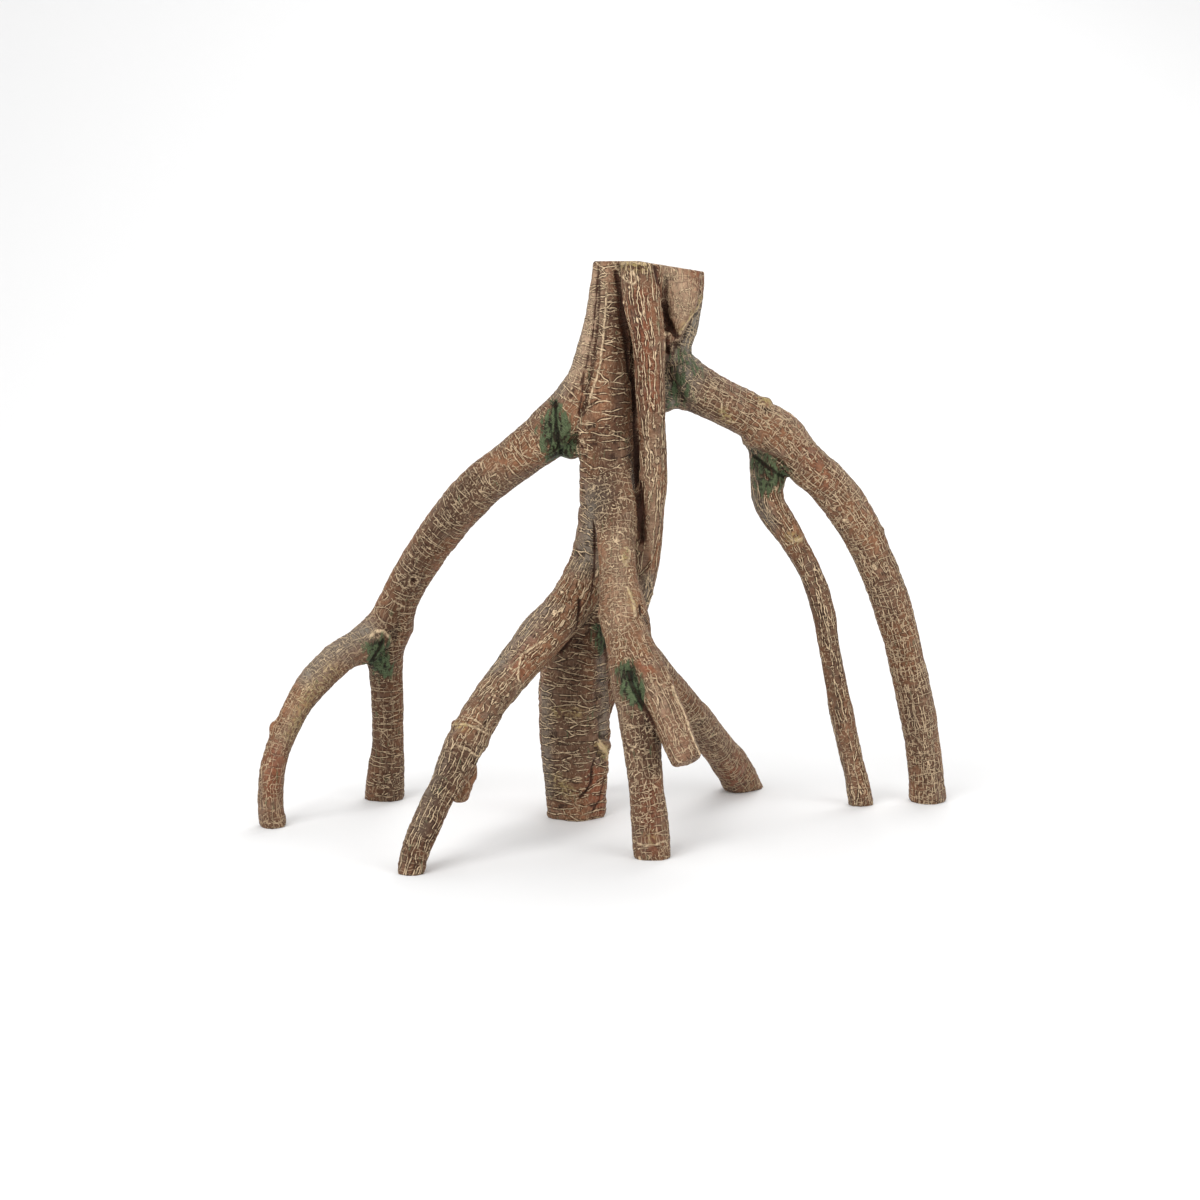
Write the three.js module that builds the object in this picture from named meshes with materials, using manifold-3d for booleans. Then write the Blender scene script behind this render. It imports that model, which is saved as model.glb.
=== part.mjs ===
// A mangrove root: the sawn foot of a small trunk on its arching prop roots, all grown as
// one piece. Each strand and root is a sweep along a curve, with ribs and swellings in its
// bark. The sweeps are joined into one solid, the joints between them are rounded as grown
// wood is, and the feet and the top are cut flat.
// Millimetres. +Z is up, +X is to the right, +Y is away from the viewer. The origin is on
// the floor, under the middle of the root.
import * as THREE from "three";
import { mergeVertices } from "three/addons/utils/BufferGeometryUtils.js";
import Module from "manifold-3d";

// Driving dimensions
const TRUNK_TOP = 335; // height of the sawn top
const SHOULDER = 16; // the top falls away to the right of this x
const SHOULDER_SLOPE = 0.16; // and by this share of the distance
const STEP = 8; // length of wood between two rings of a sweep
const CAP_BEVEL = 1.6; // bevel of a cut end
const RIB_DRIFT = 37; // length along a root in which its finer ribs turn by one radian
const SWELL_LENGTH = 11; // the same for the swellings across it
const LUMP_LENGTH = 17; // and for the lumps on one side of it
const FINER_RIB = 0.5; // height of a finer rib as a share of a rib
const LUMP = 0.8; // height of a lump as a share of a swelling
const JOIN_LEAST = 3.5; // reach of the rounding where two strands run side by side
const JOIN_MORE = 20; // added reach where they meet at a right angle
const HOLD_OFF = 0.35; // a corner goes at most this share of the way to a root it faces
const LEAST_SPREAD = 0.4; // keeps the rounding finite where two roots face each other
const EASING_PASSES = 5; // times that a turned face is eased back
const LEAST_TURN = 0.5; // cosine of the most that a face may turn when it is rounded
const CELL = 7; // size of the cells in which faces are compared
const THINNEST = 0.12; // a face lower than this is a sliver
const SHORT_EDGE = 1.5; // edges shorter than this are taken out before the rounding
const SHORT_CUT_EDGE = 0.8; // and shorter than this after the cuts
const PASSES = 4; // times that the edges are gone through
const KEEPS_SIDE = 0.3; // least cosine between a face and itself once an edge is taken out
const LOW_FACE = 0.1; // and its least height
const AGREES = 0.6; // least cosine between a turned face and its neighbour
const MEASURING_STEP = 2.5; // step of the stations that distances are measured from
const CUTTER = 600; // side of the blocks that cut the feet and the top

// The roots. Each point of a path is x, y, z and the half width seen from the front.
// depth is the half depth as a share of the half width. ribs, ribHeight and twist shape the
// long ridges of the bark, and swell is the height of the slow swellings along it.
const ROOTS = {
  leftArch: {
    path: [
      [-4, 9, 343, 5.2], [-6.8, 8, 312, 6.2], [-10.2, 7, 289, 7.5], [-17.4, 8, 262, 10.4],
      [-32.4, 11, 238.4, 13.8], [-51.6, 16, 222, 14], [-77, 24, 202, 13], [-105.3, 34, 169.3, 12.4],
      [-127.4, 45, 134.2, 11], [-136.6, 54, 104, 9.9], [-138.3, 62, 72, 9.6], [-138.5, 68, 39, 10],
      [-140.6, 73, 12, 11.4], [-141.6, 77, -8, 12.6],
    ],
    sides: 16, depth: 1, ribs: 3, ribHeight: 0.05, twist: 0.006, swell: 0.03,
  },
  outerLeftLeg: {
    path: [
      [-130, 50, 120, 7.5], [-145, 45, 108, 9.6], [-163, 37, 97.5, 9.9], [-181.4, 24, 79.2, 8.8],
      [-193.4, 14, 59.2, 8.2], [-201.4, 7, 38, 7.4], [-203.6, 2, 17, 7.6], [-200.6, -1, -8, 9],
    ],
    sides: 13, depth: 1, ribs: 3, ribHeight: 0.05, twist: 0.01, swell: 0.05,
  },
  body: {
    path: [
      [1, 2, 343, 6], [2, 1, 313, 7], [2, 1, 290, 9.3], [-1, 2, 255, 12.6],
      [-2, 5, 225, 15.2], [-2.6, 10, 195, 14.5], [-7.4, 14, 165, 14.1], [-12.4, 17, 134, 14.8],
      [-19, 21, 108, 18.4], [-23, 23, 79, 20.8], [-22.4, 24, 47, 19.8], [-20.5, 26, 16, 18.4],
      [-20, 27, -10, 16],
    ],
    sides: 20, depth: 0.95, ribs: 5, ribHeight: 0.06, twist: 0.004, swell: 0.03,
  },
  column: {
    path: [
      [16, -6, 343, 11.4], [18, -10, 313, 11.4], [22, -12, 290, 9.8], [23, -11, 266, 9],
      [24.5, -8, 238, 8.1], [25.5, -4, 208, 7.9], [22.8, 1, 178, 8], [20.5, 7, 154, 7.8],
      [15, 16, 131, 8], [7, 32, 105, 8.5], [-4, 52, 73, 8.6], [-13, 74, 37, 8.8],
      [-20, 98, -9, 9.6],
    ],
    sides: 14, depth: 1, ribs: 4, ribHeight: 0.07, twist: 0.003, swell: 0.02,
  },
  rightRoot: {
    path: [
      [7, -37, 138, 7.5], [15, -26, 118, 7.7], [25, -11, 99, 8.4], [43, 20, 73, 9.8],
      [63, 59, 41, 10.7], [79.5, 91, 14, 11.5], [90, 110, -9, 12.4],
    ],
    sides: 13, depth: 0.95, ribs: 3, ribHeight: 0.05, twist: 0.012, swell: 0.03,
  },
  frontRoot: {
    path: [
      [-1, 2, 214, 8.5], [3, -8, 194, 11.5], [4, -21, 165, 11.3], [6, -32, 141, 10.4],
      [8, -42, 122, 11], [10, -50, 103, 11.2], [14, -56, 84, 11], [17, -63, 61, 10.9],
      [20.4, -70, 36, 10.4], [23.1, -74, 12, 10.4], [24.3, -77, -9, 10.1],
    ],
    sides: 14, depth: 0.95, ribs: 3, ribHeight: 0.05, twist: 0.008, swell: 0.04,
  },
  cutStub: {
    path: [
      [9.4, -41, 128, 7.8], [22, -56, 103, 10.3], [32, -66, 83, 9.8], [39.2, -74, 66, 9],
      [43.2, -78, 57, 9],
    ],
    sides: 13, depth: 1, ribs: 3, ribHeight: 0.06, twist: 0.01, swell: 0.04,
  },
  frontLeftRoot: {
    path: [
      [-12.4, 11, 157, 9.5], [-25.4, -3, 134, 12.6], [-40.6, -18, 115.8, 12.8],
      [-55.2, -32, 99.8, 12.3], [-69.8, -48, 85.2, 10.9], [-80.2, -64, 69.8, 9.9],
      [-87.2, -79, 55, 9.7], [-94.7, -90, 41, 8.4], [-101.5, -99, 27, 8.1],
      [-108, -107, 12, 7.9], [-112.7, -113, -9, 8],
    ],
    sides: 14, depth: 1, ribs: 3, ribHeight: 0.05, twist: 0.012, swell: 0.05,
  },
  legStub: {
    path: [[-82, -70, 66, 5.6], [-83.6, -70, 50, 6.5], [-86.4, -68.5, 33, 5.5]],
    sides: 10, depth: 1, ribs: 3, ribHeight: 0.05, twist: 0.01, swell: 0.04,
  },
  rightArch: {
    path: [
      [47.8, 19, 343, 7.4], [47.8, 20, 315, 7.4], [45.6, 20, 298, 6.6], [40, 18, 281, 7.4],
      [44, 18, 267, 10.6], [57, 21, 257.4, 13.2], [87, 30, 241, 12.9], [115, 38, 216.3, 12.5],
      [140.6, 45, 191, 12.7], [157.8, 51, 163, 12.1], [172, 56, 129, 11.5], [182, 60, 97, 11.4],
      [190.6, 63, 62, 11.1], [196.2, 66, 30, 11], [199.8, 68, -9, 11.3],
    ],
    sides: 16, depth: 1, ribs: 3, ribHeight: 0.05, twist: 0.006, swell: 0.03,
  },
  archHeel: {
    path: [[10, 23, 267, 10.5], [32, 20, 262, 10.2], [52, 21, 257.6, 10.6], [78, 27, 244.5, 10.3]],
    sides: 14, depth: 0.9, ribs: 3, ribHeight: 0.05, twist: 0.006, swell: 0.02,
  },
  axedWedge: {
    path: [[39, 10, 343, 12.6], [40, 9, 320, 12.4], [39, 8, 306, 9.9], [37, 8, 290, 4]],
    sides: 14, depth: 0.9, ribs: 2, ribHeight: 0.03, twist: 0, swell: 0,
  },
  thinRoot: {
    path: [
      [99, 35, 236, 10], [94.6, 38, 213, 10.4], [96, 41, 192, 9.2], [107.4, 44, 173, 8.3],
      [119.2, 47, 152, 7.2], [128.2, 49, 130, 6.8], [135.5, 51, 98, 6.5], [141.8, 53, 67, 6.9],
      [148.2, 55, 35, 7.1], [154.4, 57, 9, 7.6], [157.6, 58, -9, 7.9],
    ],
    sides: 11, depth: 1, ribs: 3, ribHeight: 0.06, twist: 0.015, swell: 0.05,
  },
  heart: {
    path: [
      [22, 20, 343, 24], [22, 21, 312, 23], [19, 22, 286, 19.6], [13, 23, 259, 17.4],
      [8, 24, 229, 17], [6, 24, 200, 16.4], [2, 24, 170, 14.6], [-2, 22, 140, 13],
      [-9, 22, 110, 12], [-16, 23, 84, 8],
    ],
    sides: 18, step: 11, depth: 0.95, ribs: 6, ribHeight: 0.1, twist: 0.003, swell: 0.03,
  },
};

// Knots and healed buds that stand out of the bark: x, y, z and the three half sizes.
const KNOTS = [
  { at: [90.4, 26, 251.2], size: [6.4, 5, 4] }, // pale knot on top of the right arch
  { at: [-23, 12, 227], size: [9, 8, 8] }, // swelling in the crotch of the left arch
  { at: [163.6, 50, 172], size: [4, 3.6, 3.6] }, // healed bud outside on the right arch
  { at: [-200.6, 11, 56.4], size: [4.2, 4.4, 6] }, // shoulder of the outer left leg
  { at: [-80.6, -64.6, 74.4], size: [11, 10.6, 3.8] }, // ring of a swelling on the front left root
  { at: [33, 3.4, 291], size: [3.8, 3.6, 5.6] }, // bead under the axed wedge
  { at: [36, 9.6, 281], size: [3.6, 4.4, 6] }, // second bead, lower
  { at: [-5, 15, 46], size: [6, 6, 5] }, // ragged rim over the broken face
];

// Flat faces cut into the wood: the middle of the face, the way it faces, and the size of
// the block that is taken off it (along the face, off the face, up the face).
const FACES = [
  { at: [47, 2.6, 318], facing: [0.24, -1, 0.1], size: [29, 16, 58] }, // axed face of the trunk
  { at: [-11, 14, 8], facing: [0.75, -0.8, -0.12], size: [34, 12, 50] }, // broken face of the body
];

const random = seeded(7);

// Returns a function that gives the same run of numbers from 0 to 1 each time.
function seeded(seed) {
  let state = seed;
  return () => {
    state = (state * 1664525 + 1013904223) % 4294967296;
    return state / 4294967296;
  };
}

// Height of the bark at a place, as a share of the radius: ribs along the root, swellings
// across it, and a few slow waves with drawn phases so that no two roots are alike.
function barkOf({ ribs, ribHeight, twist, swell }) {
  const phase = [1, 2, 3, 4].map(() => random() * 2 * Math.PI);
  return (along, angle) => {
    const turned = angle + twist * along;
    const rib = ribHeight * Math.cos(ribs * turned + phase[0]);
    const drift = along / RIB_DRIFT;
    const finer = FINER_RIB * ribHeight * Math.cos((ribs + 2) * turned - drift + phase[1]);
    const slow = swell * Math.sin(along / SWELL_LENGTH + phase[2]);
    const lump = LUMP * swell * Math.sin(along / LUMP_LENGTH + angle + phase[3]);
    return 1 + rib + finer + slow + lump;
  };
}

// The centre line of a root, its half width on the same parameter, and its bark.
function grow(root) {
  const centre = new THREE.CatmullRomCurve3(
    root.path.map(([x, y, z]) => new THREE.Vector3(x, y, z)),
  );
  const width = new THREE.CatmullRomCurve3(
    root.path.map((point, i) => new THREE.Vector3(point[3], i, 0)),
    false,
    "catmullrom",
  );
  return { ...root, centre, width, bark: barkOf(root), length: centre.getLength() };
}

// A place on a root's centre line. The first axis lies across the root as seen from the
// front, and the second points into the depth.
function stationAt(root, share) {
  const t = root.centre.getUtoTmapping(share);
  const direction = root.centre.getTangent(t);
  const across = new THREE.Vector3().crossVectors(direction, new THREE.Vector3(0, 1, 0));
  across.normalize();
  const inward = new THREE.Vector3().crossVectors(across, direction).normalize();
  const halfWidth = root.width.getPoint(t).x;
  return {
    middle: root.centre.getPoint(t), direction, across, inward, halfWidth,
    along: root.length * share,
  };
}

function stationsOf(root, step) {
  const count = Math.max(2, Math.round(root.length / step));
  return Array.from({ length: count + 1 }, (_, i) => stationAt(root, i / count));
}

// One ring of a sweep, drawn in or shifted along the root where it bevels a cut end.
function ringAt(root, station, drawnIn = 0, shift = 0) {
  const points = [];
  for (let side = 0; side < root.sides; side++) {
    const angle = (2 * Math.PI * side) / root.sides;
    const reach = station.halfWidth * root.bark(station.along, angle) - drawnIn;
    const point = station.middle.clone();
    point.addScaledVector(station.across, reach * Math.cos(angle));
    point.addScaledVector(station.inward, reach * root.depth * Math.sin(angle));
    point.addScaledVector(station.direction, shift);
    points.push(point);
  }
  return points;
}

// All rings of a root, with a bevelled one at its lower end.
function ringsOf(root) {
  const stations = stationsOf(root, root.step ?? STEP);
  const rings = stations.map((station) => ringAt(root, station));
  rings.push(ringAt(root, stations[stations.length - 1], CAP_BEVEL, CAP_BEVEL));
  return rings;
}

// Joins rings into a closed geometry whose faces point outwards.
function skin(rings) {
  const sides = rings[0].length;
  const corners = [];
  const face = (a, b, c) => corners.push(a, b, c);
  const middle = (points) =>
    points.reduce((sum, p) => sum.add(p), new THREE.Vector3()).divideScalar(points.length);
  rings.slice(1).forEach((next, i) => {
    const here = rings[i];
    for (let j = 0; j < sides; j++) {
      const k = (j + 1) % sides;
      face(here[j], next[j], here[k]);
      face(here[k], next[j], next[k]);
    }
  });
  const first = rings[0];
  const last = rings[rings.length - 1];
  const [top, bottom] = [middle(first), middle(last)];
  for (let j = 0; j < sides; j++) {
    const k = (j + 1) % sides;
    face(top, first[j], first[k]);
    face(bottom, last[k], last[j]);
  }
  return new THREE.BufferGeometry().setFromPoints(corners);
}

const wasm = await Module();
wasm.setup();

// A closed geometry as a solid that can be joined and cut.
function solidOf(geometry) {
  const bare = geometry.clone();
  bare.deleteAttribute("normal");
  bare.deleteAttribute("uv");
  const merged = mergeVertices(bare);
  const vertProperties = merged.getAttribute("position").array;
  const triVerts = new Uint32Array(merged.index.array);
  return new wasm.Manifold(new wasm.Mesh({ numProp: 3, vertProperties, triVerts }));
}

// The corners and faces of a solid, as lists that can be edited.
function meshOf(solid) {
  const { vertProperties, triVerts } = solid.getMesh();
  const corners = [];
  for (let i = 0; i < vertProperties.length; i += 3)
    corners.push(new THREE.Vector3().fromArray(vertProperties, i));
  const faces = [];
  for (let i = 0; i < triVerts.length; i += 3) faces.push([...triVerts.slice(i, i + 3)]);
  return { corners, faces };
}

function geometryOf({ corners, faces }) {
  return new THREE.BufferGeometry().setFromPoints(faces.flat().map((i) => corners[i]));
}

// How far a point is outside a root's bark, with the way out and the root's direction there.
function gapTo(root, point) {
  const { stations } = root;
  let nearest = 0;
  let least = Infinity;
  stations.forEach(({ middle }, i) => {
    const apart = middle.distanceToSquared(point);
    if (apart < least) [least, nearest] = [apart, i];
  });
  const station = stations[nearest];
  const offset = point.clone().sub(station.middle);
  const u = offset.dot(station.across);
  const v = offset.dot(station.inward);
  const reach = station.halfWidth * root.bark(station.along, Math.atan2(v / root.depth, u));
  let gap = Math.hypot(u, v / root.depth) - reach;
  const past = offset.dot(station.direction) * (nearest === 0 ? -1 : 1);
  const atEnd = nearest === 0 || nearest === stations.length - 1;
  if (atEnd && past > 0) gap = Math.max(gap, 0) + past;
  const outward = new THREE.Vector3();
  outward.addScaledVector(station.across, u).addScaledVector(station.inward, v).normalize();
  return { gap, outward, direction: station.direction };
}

// Where a corner goes when the creases between roots are rounded. One that lies near two
// roots moves outwards, the more the nearer it is to both, and further where the two meet at
// a wide angle. It goes at most part of the way to a root that it faces, so the walls of a
// cleft stay apart.
function rounded(corner, roots) {
  const gaps = roots.map((root) => gapTo(root, corner)).sort((p, q) => p.gap - q.gap);
  const [a, b] = gaps;
  const crossing = Math.sqrt(Math.max(0, 1 - a.direction.dot(b.direction) ** 2));
  const reach = JOIN_LEAST + JOIN_MORE * crossing;
  const near = Math.max(0, 1 - (b.gap - a.gap) / reach);
  const way = a.outward.clone().lerp(b.outward, near / 2);
  let lift = (near * near * reach) / 4 / Math.max(LEAST_SPREAD, way.lengthSq());
  for (const other of gaps.slice(1)) {
    const approach = -way.dot(other.outward);
    if (approach > 0) lift = Math.min(lift, (HOLD_OFF * Math.max(0, other.gap)) / approach);
  }
  return corner.clone().addScaledVector(way, lift);
}

// Lists of the faces that lie in the same small cell of space.
function cellsOf(triangles) {
  const cells = new Map();
  triangles.forEach((triangle, i) => {
    const box = new THREE.Box3().setFromPoints(triangle);
    const low = box.min.divideScalar(CELL).floor();
    const high = box.max.divideScalar(CELL).floor();
    for (let x = low.x; x <= high.x; x++)
      for (let y = low.y; y <= high.y; y++)
        for (let z = low.z; z <= high.z; z++) {
          const key = `${x},${y},${z}`;
          if (!cells.has(key)) cells.set(key, []);
          cells.get(key).push(i);
        }
  });
  return [...cells.values()];
}

// Whether an edge of the first triangle goes through the second.
function pierces(first, second) {
  const ray = new THREE.Ray();
  const hit = new THREE.Vector3();
  return first.some((from, i) => {
    const to = first[(i + 1) % 3];
    ray.set(from, to.clone().sub(from).normalize());
    const meets = ray.intersectTriangle(...second, false, hit);
    return meets && hit.distanceTo(from) < to.distanceTo(from);
  });
}

// The corners of all faces that cross another face.
function crossedCorners(faces, placeOf) {
  const triangles = faces.map((face) => face.map(placeOf));
  const found = new Set();
  for (const cell of cellsOf(triangles))
    cell.forEach((i, n) => {
      for (const j of cell.slice(n + 1)) {
        if (faces[i].some((corner) => faces[j].includes(corner))) continue;
        const [one, two] = [triangles[i], triangles[j]];
        if (pierces(one, two) || pierces(two, one))
          [...faces[i], ...faces[j]].forEach((corner) => found.add(corner));
      }
    });
  return found;
}

// Rounds the creases between roots. The corners of a face that would turn over go back
// towards where they were, and those of faces that would cross go all the way back.
function roundJoints({ corners, faces }, roots) {
  const goals = corners.map((corner) => rounded(corner, roots));
  const shares = corners.map(() => 1);
  const placeOf = (i) => corners[i].clone().lerp(goals[i], shares[i]);
  for (let pass = 0; pass < EASING_PASSES; pass++) {
    for (const face of faces) {
      const before = normalOf(...face.map((i) => corners[i]));
      const after = normalOf(...face.map(placeOf));
      const turned = before.dot(after) < LEAST_TURN * before.length() * after.length();
      if (turned) face.forEach((i) => (shares[i] /= 2));
    }
  }
  let crossed = crossedCorners(faces, placeOf);
  while (crossed.size) {
    crossed.forEach((i) => (shares[i] = 0));
    const still = crossedCorners(faces, placeOf);
    crossed = [...still].some((i) => shares[i] > 0) ? still : new Set();
  }
  return { corners: corners.map((_, i) => placeOf(i)), faces };
}

const FLAT = 0.001;
const topHeight = (x) => TRUNK_TOP - SHOULDER_SLOPE * Math.max(0, x - SHOULDER);
const onCut = ({ x, z }) => z < FLAT || z > topHeight(x) - FLAT;

// The faces round each corner.
function facesRound({ corners, faces }) {
  const round = corners.map(() => new Set());
  faces.forEach((face, i) => face.forEach((corner) => round[corner].add(i)));
  return round;
}

function normalOf(a, b, c) {
  return new THREE.Vector3().crossVectors(b.clone().sub(a), c.clone().sub(a));
}

// Whether a face keeps its side and is no sliver once some of its corners move to a place.
function staysGood(corners, face, moving, place) {
  const before = face.map((corner) => corners[corner]);
  const after = face.map((corner) => (moving.includes(corner) ? place : corners[corner]));
  const [old, now] = [normalOf(...before), normalOf(...after)];
  const longest = Math.max(...[0, 1, 2].map((i) => after[i].distanceTo(after[(i + 1) % 3])));
  const facesOn = old.dot(now) >= KEEPS_SIDE * old.length() * now.length();
  return facesOn && now.length() > LOW_FACE * longest;
}

// Joins corner b to corner a where that leaves the surface closed and unfolded.
function joinCorners(mesh, round, a, b) {
  const { corners, faces } = mesh;
  const ring = (corner) =>
    new Set([...round[corner]].flatMap((i) => faces[i]).filter((other) => other !== corner));
  const [ringA, ringB] = [ring(a), ring(b)];
  if ([...ringA].filter((corner) => ringB.has(corner)).length !== 2) return;
  const [cutA, cutB] = [onCut(corners[a]), onCut(corners[b])];
  const place = corners[a].clone();
  if (cutB && !cutA) place.copy(corners[b]);
  if (!cutA && !cutB) place.lerp(corners[b], 0.5);
  const touched = new Set([...round[a], ...round[b]]);
  const kept = [...touched].filter((i) => !(faces[i].includes(a) && faces[i].includes(b)));
  if (!kept.every((i) => staysGood(corners, faces[i], [a, b], place))) return;
  for (const i of touched) {
    if (kept.includes(i)) {
      faces[i] = faces[i].map((corner) => (corner === b ? a : corner));
      round[a].add(i);
    } else {
      faces[i].forEach((corner) => round[corner].delete(i));
      faces[i] = null;
    }
  }
  round[b].clear();
  corners[a].copy(place);
}

// Takes out the short edges that joining leaves, so that no face is a sliver.
function dropShortEdges(mesh, shortest) {
  const round = facesRound(mesh);
  const { corners, faces } = mesh;
  for (let pass = 0; pass < PASSES; pass++) {
    for (let i = 0; i < faces.length; i++) {
      for (let side = 0; side < 3 && faces[i]; side++) {
        const [a, b] = [faces[i][side], faces[i][(side + 1) % 3]];
        if (corners[a].distanceTo(corners[b]) < shortest) joinCorners(mesh, round, a, b);
      }
    }
  }
  return { corners, faces: faces.filter(Boolean) };
}

function heightOf(triangle) {
  const longest = Math.max(...triangle.map((p, i) => p.distanceTo(triangle[(i + 1) % 3])));
  return normalOf(...triangle).length() / longest;
}

// The faces by their edges, each edge in the direction in which its face runs along it.
function edgesOf(faces) {
  const edges = new Map();
  faces.forEach((face, i) =>
    face.forEach((corner, side) => edges.set(`${corner},${face[(side + 1) % 3]}`, i)),
  );
  return edges;
}

// Turns the longest edge of a sliver the other way, so that it and its neighbour become two
// better faces.
function turnEdge({ corners, faces }, edges, i) {
  const face = faces[i];
  const lengths = face.map((a, side) => corners[a].distanceTo(corners[face[(side + 1) % 3]]));
  const side = lengths.indexOf(Math.max(...lengths));
  const [a, b, c] = [face[side], face[(side + 1) % 3], face[(side + 2) % 3]];
  const neighbour = edges.get(`${b},${a}`);
  const d = faces[neighbour].find((corner) => corner !== a && corner !== b);
  if (edges.has(`${c},${d}`) || edges.has(`${d},${c}`)) return;
  const shapeOf = (list) => list.map((corner) => corners[corner]);
  const turned = [[a, d, c], [d, b, c]];
  const guide = normalOf(...shapeOf(faces[neighbour]));
  const good = turned.every((list) => {
    const normal = normalOf(...shapeOf(list));
    const agrees = normal.dot(guide) > AGREES * normal.length() * guide.length();
    return agrees && heightOf(shapeOf(list)) > heightOf(shapeOf(face));
  });
  if (!good) return;
  edges.delete(`${a},${b}`);
  edges.delete(`${b},${a}`);
  [faces[i], faces[neighbour]] = turned;
  for (const index of [i, neighbour])
    faces[index].forEach((corner, n) =>
      edges.set(`${corner},${faces[index][(n + 1) % 3]}`, index),
    );
}

// The mesh of a solid without short edges and slivers.
function cleaned(solid, shortest) {
  const mesh = dropShortEdges(meshOf(solid), shortest);
  const edges = edgesOf(mesh.faces);
  for (let i = 0; i < mesh.faces.length; i++) {
    const triangle = mesh.faces[i].map((corner) => mesh.corners[corner]);
    if (heightOf(triangle) < THINNEST) turnEdge(mesh, edges, i);
  }
  return mesh;
}

function knotOf({ at, size }) {
  const knot = new THREE.IcosahedronGeometry(1, 1);
  knot.scale(...size);
  knot.translate(...at);
  return solidOf(knot);
}

// A block over a level that turns down to the right by a slope, from a given x.
function topBlock(x, slope) {
  const block = new THREE.BoxGeometry(CUTTER, CUTTER, CUTTER);
  block.translate(0, 0, CUTTER / 2);
  block.rotateY(Math.atan(slope));
  block.translate(x, 0, TRUNK_TOP);
  return solidOf(block);
}

// The block under the floor, which cuts the feet flat.
function floorBlock() {
  const block = new THREE.BoxGeometry(CUTTER, CUTTER, CUTTER);
  block.translate(0, 0, -CUTTER / 2);
  return solidOf(block);
}

// The block that is taken off a flat face.
function faceBlock({ at, facing, size }) {
  const block = new THREE.BoxGeometry(...size);
  block.translate(0, -size[1] / 2, 0);
  const way = new THREE.Vector3(...facing).normalize();
  const turn = new THREE.Quaternion().setFromUnitVectors(new THREE.Vector3(0, -1, 0), way);
  block.applyQuaternion(turn);
  block.translate(...at);
  return solidOf(block);
}

const roots = Object.values(ROOTS).map(grow);
for (const root of roots) root.stations = stationsOf(root, MEASURING_STEP);
const union = roots.map((root) => solidOf(skin(ringsOf(root)))).reduce((a, b) => a.add(b));
const grown = roundJoints(cleaned(union, SHORT_EDGE), roots);
let wood = solidOf(geometryOf(grown));
for (const knot of KNOTS) wood = wood.add(knotOf(knot));
for (const face of FACES) wood = wood.subtract(faceBlock(face));
wood = wood.subtract(topBlock(0, 0)).subtract(topBlock(SHOULDER, SHOULDER_SLOPE));
wood = wood.subtract(floorBlock());
const finished = cleaned(wood, SHORT_CUT_EDGE);

const bark = new THREE.MeshStandardMaterial({ color: 0x8a6a55, roughness: 0.85, metalness: 0 });
const mesh = new THREE.Mesh(geometryOf(finished), bark);
mesh.name = "mangrove_root";

const part = new THREE.Group();
part.add(mesh);

export default part;
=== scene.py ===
# %% [markdown]
# # A mangrove root, from its trunk to its cut feet
# The real object is one grown piece of wood: a sawn trunk of several strands that stands on
# arching, forked prop roots. The packed solid already has every strand, arch and foot at its
# true place. What is missing is the bark, so this lesson lays a finer skin over the solid,
# shapes clefts, wrinkles and scars in it, and paints it with a material that follows the grain.

# %% Load the packed root and keep its box
import itertools
from math import radians

import bpy
import numpy as np
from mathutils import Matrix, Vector


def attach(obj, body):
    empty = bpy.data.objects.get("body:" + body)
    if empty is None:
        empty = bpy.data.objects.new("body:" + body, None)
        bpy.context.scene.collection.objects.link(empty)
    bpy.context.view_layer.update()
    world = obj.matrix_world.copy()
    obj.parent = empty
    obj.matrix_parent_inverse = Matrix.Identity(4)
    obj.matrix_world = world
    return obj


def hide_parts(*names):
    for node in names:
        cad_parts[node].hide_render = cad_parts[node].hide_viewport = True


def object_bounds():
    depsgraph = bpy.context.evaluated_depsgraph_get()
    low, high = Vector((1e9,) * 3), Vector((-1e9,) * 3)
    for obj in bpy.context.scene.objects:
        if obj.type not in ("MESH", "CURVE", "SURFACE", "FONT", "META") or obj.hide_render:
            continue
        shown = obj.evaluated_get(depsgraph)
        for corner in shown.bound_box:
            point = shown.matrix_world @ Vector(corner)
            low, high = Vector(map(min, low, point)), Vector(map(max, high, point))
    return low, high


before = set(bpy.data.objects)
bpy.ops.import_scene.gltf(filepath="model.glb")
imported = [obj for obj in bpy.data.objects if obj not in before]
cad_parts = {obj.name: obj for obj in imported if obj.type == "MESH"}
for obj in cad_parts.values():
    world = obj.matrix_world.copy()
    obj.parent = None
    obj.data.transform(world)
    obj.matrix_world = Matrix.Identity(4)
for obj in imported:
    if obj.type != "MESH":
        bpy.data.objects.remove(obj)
solid_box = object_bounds()
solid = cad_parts["mangrove_root"]
print("solid box", [[round(v, 4) for v in corner] for corner in solid_box])

# %% [markdown]
# ## The camera
# The photo was taken from a little above, from about a metre and a half away. The tilt and
# the distance come from the feet: all of them stand on one floor, so the height of each foot
# in the picture fixes how far away it stands. The camera comes first, because the marks on
# the bark are found later by looking along its lines of sight.

# %% Camera
PHOTO_SIDE = 1200  # pixels
FOCAL_PIXELS = 2424
SENSOR = 36.0  # millimetres, the unit of camera lenses
EYE = Vector((-0.006, -1.418, 0.341))
TILT = radians(8.2)

bpy.ops.object.camera_add(location=EYE, rotation=(radians(90) - TILT, 0, 0))
camera = bpy.context.object
camera.name = "photo_camera"
camera.data.sensor_width = SENSOR
camera.data.lens = SENSOR * FOCAL_PIXELS / PHOTO_SIDE
bpy.context.scene.camera = camera
bpy.context.view_layer.update()
print("lens", round(camera.data.lens, 2), "mm")

# %% [markdown]
# ## The studio
# The root stands in front of plain white. A single sheet does for the floor and the
# backdrop: a plane whose far edge is pulled up, with the fold made round, so that no corner
# shows behind the object. Large soft lamps keep the shadows pale, as in the photo.

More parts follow.
